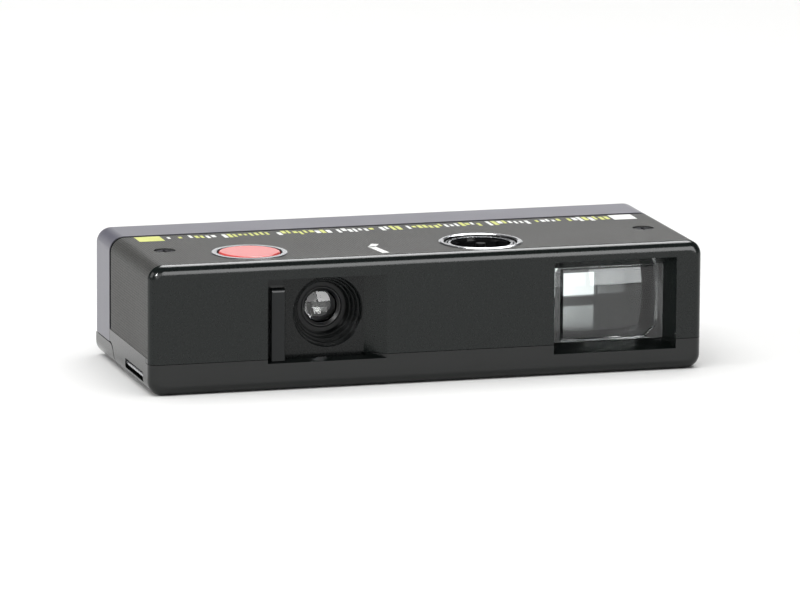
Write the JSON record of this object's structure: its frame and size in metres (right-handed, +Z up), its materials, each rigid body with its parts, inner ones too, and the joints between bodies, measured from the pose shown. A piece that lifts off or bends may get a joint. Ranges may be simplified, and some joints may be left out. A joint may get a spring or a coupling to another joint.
{
  "type": "pocket film camera",
  "caption": "Slim pocket film camera for drop-in cartridges: recessed lens, clear finder, orange shutter button, flash-cube socket, hinged back door and thumb film advance.",
  "frame": {"origin": "middle of the base", "axes": "+X to the right seen from the front, +Y to the back, +Z up"},
  "size_m": [0.116, 0.045, 0.0268],
  "materials": {
    "satin_black_abs": "satin moulded black ABS",
    "grained_cover": "pressed aluminium with a fine black grained finish",
    "rear_grey_abs": "smooth dark grey moulded ABS",
    "inner_black_abs": "matt black moulded ABS",
    "orange_button": "glossy orange red",
    "gloss_black": "glossy black",
    "clear_acrylic": "clear moulded acrylic",
    "coated_glass": "polished coated glass",
    "bright_steel": "plain steel",
    "black_screw": "blackened steel",
    "spring_steel": "spring steel",
    "amber_window": "dark amber acrylic",
    "natural_acetal": "natural acetal"
  },
  "bodies": {
    "camera_body": {"bottom_housing": "satin_black_abs", "front_panel": "satin_black_abs", "top_wrap": "grained_cover", "body_shell": "inner_black_abs", "rear_frame": "rear_grey_abs", "door_hinge_pin": "bright_steel", "film_chamber": "inner_black_abs", "lens_board": "inner_black_abs", "lens_barrel": "inner_black_abs", "lens_retaining_ring": "gloss_black", "front_lens_element": "coated_glass", "aperture_stop": "black_screw", "rear_lens_element": "coated_glass", "blade_spring": "spring_steel", "button_spring": "spring_steel", "button_collar": "gloss_black", "socket_bezel": "gloss_black", "striker_spring": "spring_steel", "slide_spring": "spring_steel", "viewfinder_lens": "clear_acrylic", "viewfinder_tunnel": "inner_black_abs", "viewfinder_eyepiece": "clear_acrylic", "cover_screws": "black_screw", "strap_bar": "bright_steel", "socket_detent_spring": "spring_steel"},
    "shutter_button": {"shutter_button": "orange_button"},
    "release_lever": {"release_lever": "natural_acetal"},
    "shutter_blade": {"shutter_blade": "black_screw"},
    "lens_cover": {"lens_cover": "satin_black_abs"},
    "advance_slide": {"advance_slide": "gloss_black"},
    "winding_gear": {"winding_gear": "natural_acetal"},
    "take_up_gear": {"take_up_gear": "natural_acetal"},
    "flash_socket": {"flash_socket": "gloss_black", "socket_ratchet": "natural_acetal"},
    "flash_striker": {"flash_striker": "bright_steel"},
    "film_door": {"film_door": "satin_black_abs", "film_window": "amber_window", "pressure_spring": "spring_steel"},
    "door_latch": {"door_latch": "gloss_black"},
    "metering_pawl": {"metering_pawl": "bright_steel"}
  },
  "joints": [
    {"name": "film_door_hinge", "type": "hinge", "parent": "camera_body", "child": "film_door", "pos_m": [-0.038, 0.0105, 0.0018], "axis": [-1, 0, 0], "range_deg": [0, 90]},
    {"name": "door_latch_slide", "type": "slide", "parent": "camera_body", "child": "door_latch", "axis": [-1, 0, 0], "range_m": [0, 0.0035]},
    {"name": "shutter_button_press", "type": "slide", "parent": "camera_body", "child": "shutter_button", "axis": [0, 0, -1], "range_m": [0, 0.001], "stiffness_N_per_m": 300, "springref_m": -0.001, "deforming": ["button_spring"]},
    {"name": "release_lever_turn", "type": "hinge", "parent": "camera_body", "child": "release_lever", "pos_m": [-0.03, -0.0122, 0.018], "axis": [0, -1, 0], "range_deg": [0, 14.47]},
    {"name": "shutter_blade_swing", "type": "hinge", "parent": "camera_body", "child": "shutter_blade", "pos_m": [-0.0115, -0.007, 0.01], "axis": [0, -1, 0], "range_deg": [0, 45], "stiffness_Nm_per_rad": 0.0004, "springref_deg": -20.05},
    {"name": "lens_cover_slide", "type": "slide", "parent": "camera_body", "child": "lens_cover", "axis": [1, 0, 0], "range_m": [0, 0.017]},
    {"name": "advance_slide_push", "type": "slide", "parent": "camera_body", "child": "advance_slide", "axis": [-1, 0, 0], "range_m": [0, 0.02], "stiffness_N_per_m": 15, "springref_m": -0.004},
    {"name": "winding_gear_turn", "type": "hinge", "parent": "camera_body", "child": "winding_gear", "pos_m": [0.02, 0.0006, 0.0044], "axis": [0, 0, 1], "range_deg": [-209.6, 5]},
    {"name": "take_up_gear_turn", "type": "hinge", "parent": "camera_body", "child": "take_up_gear", "pos_m": [0.0152, 0.00891, 0.006], "axis": [0, 0, 1], "range_deg": [-5, 291.5]},
    {"name": "flash_socket_turn", "type": "hinge", "parent": "camera_body", "child": "flash_socket", "pos_m": [0.0138, -0.0122, 0.02], "axis": [0, 0, 1], "continuous": true},
    {"name": "flash_striker_rise", "type": "slide", "parent": "camera_body", "child": "flash_striker", "axis": [0, 0, 1], "range_m": [0, 0.0015], "stiffness_N_per_m": 100, "springref_m": -0.001, "deforming": ["striker_spring"]},
    {"name": "metering_pawl_swing", "type": "hinge", "parent": "camera_body", "child": "metering_pawl", "pos_m": [-0.0095, 0.0124, 0.0169], "axis": [1, 0, 0], "range_deg": [0, 10], "stiffness_Nm_per_rad": 0.0004, "springref_deg": -20.05}
  ],
  "couplings": [
    {"joint": "release_lever_turn", "follows": "shutter_button_press", "rad_per_m": 243.9},
    {"joint": "winding_gear_turn", "follows": "advance_slide_push", "rad_per_m": -178.57},
    {"joint": "take_up_gear_turn", "follows": "advance_slide_push", "rad_per_m": 250}
  ]
}
